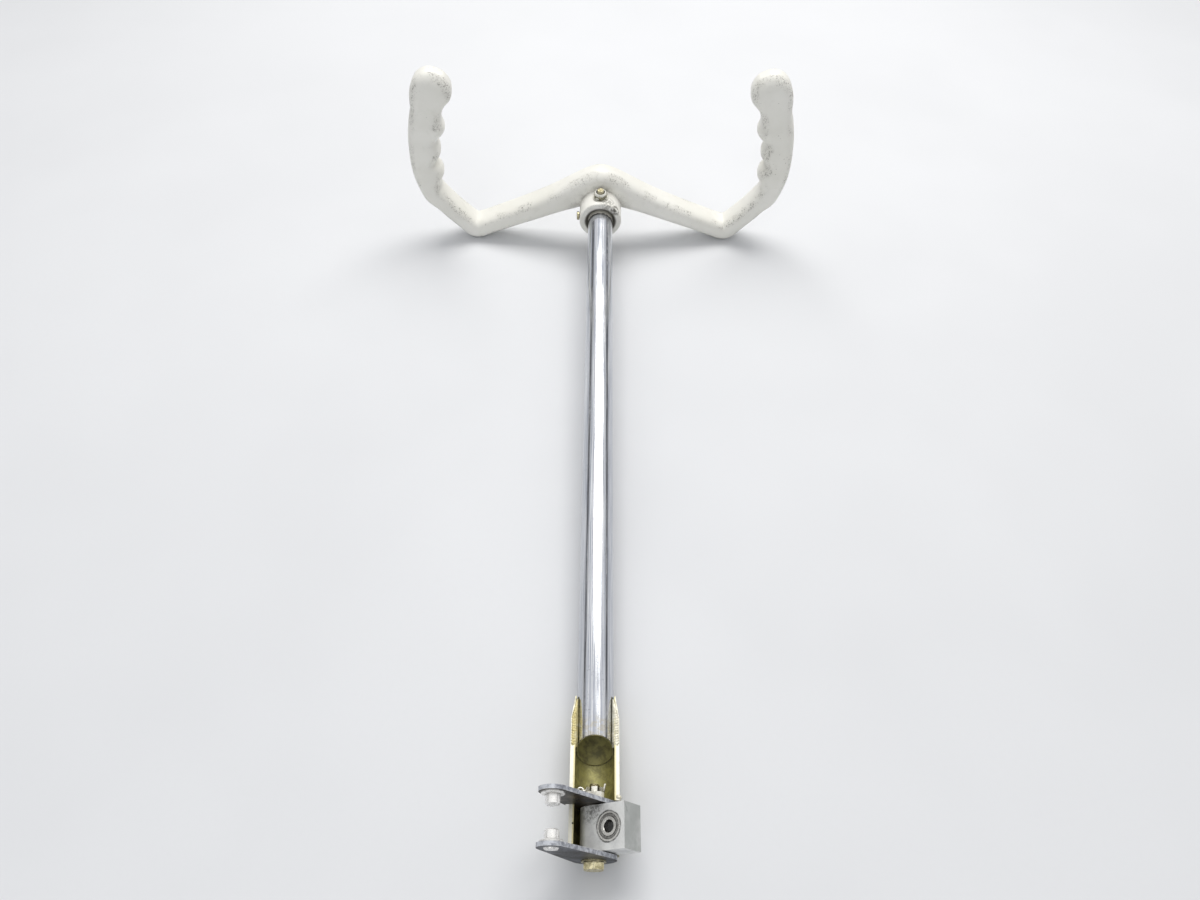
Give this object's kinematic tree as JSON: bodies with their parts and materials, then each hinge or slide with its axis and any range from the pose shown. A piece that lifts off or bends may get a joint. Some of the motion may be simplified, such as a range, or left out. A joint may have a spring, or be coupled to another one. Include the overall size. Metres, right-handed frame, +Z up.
{
  "type": "aircraft control wheel",
  "caption": "Aircraft control wheel: cast W-shaped hand grips on a chromed steel shaft, ending in a plated channel with two link arms and a swinging bearing block.",
  "frame": {"origin": "on the shaft's axis, at the forward end face of the wheel's boss", "axes": "+Y along the shaft from its forward end towards the hand grips, +Z up along the horns, +X across the wheel"},
  "size_m": [0.3406, 0.582, 0.1675],
  "materials": {
    "wheel_paint": "worn cream gloss paint",
    "tube_chrome": "polished",
    "gold_plate": "yellow chromate plating",
    "zinc_steel": "aged zinc",
    "bright_plate": "bright plating",
    "dark_steel": "gun-metal",
    "weld_steel": "plated weld bead",
    "bare_aluminium": "machined",
    "bearing_steel": "ground",
    "cage_brass": "pressed",
    "shield_steel": "pressed, oily"
  },
  "bodies": {
    "wheel_shaft": {"wheel_casting": "wheel_paint", "hub_bolt": "zinc_steel", "hub_nut": "zinc_steel", "hub_washers": "zinc_steel", "side_screw": "zinc_steel", "tube": "tube_chrome", "channel": "gold_plate", "tube_welds": "weld_steel", "arm_weld": "weld_steel", "far_arm": "dark_steel", "near_arm": "dark_steel", "link_pins": "bright_plate", "pivot_bolt": "gold_plate", "pivot_washers": "gold_plate", "castle_nut": "gold_plate", "split_pin": "bright_plate", "shims": "bright_plate"},
    "block": {"swing_block": "bare_aluminium", "bearing_outer_race": "bearing_steel", "bearing_shields": "shield_steel"},
    "inner_race": {"bearing_inner_race": "bearing_steel"},
    "ball_cage": {"bearing_balls": "bearing_steel", "bearing_cage": "cage_brass"}
  },
  "joints": [
    {"name": "block_swing", "type": "hinge", "parent": "wheel_shaft", "child": "block", "pos_m": [0, -0.51615, 0], "axis": [0, -1, 0], "range_deg": [0, 74]},
    {"name": "inner_race_spin", "type": "hinge", "parent": "block", "child": "inner_race", "pos_m": [0.00932, -0.51615, 0.01338], "axis": [-0.5878, 0, 0.809], "continuous": true},
    {"name": "cage_spin", "type": "hinge", "parent": "block", "child": "ball_cage", "pos_m": [0.00932, -0.51615, 0.01338], "axis": [-0.5878, 0, 0.809], "continuous": true}
  ],
  "couplings": [
    {"joint": "cage_spin", "follows": "inner_race_spin", "ratio": 0.3929}
  ]
}
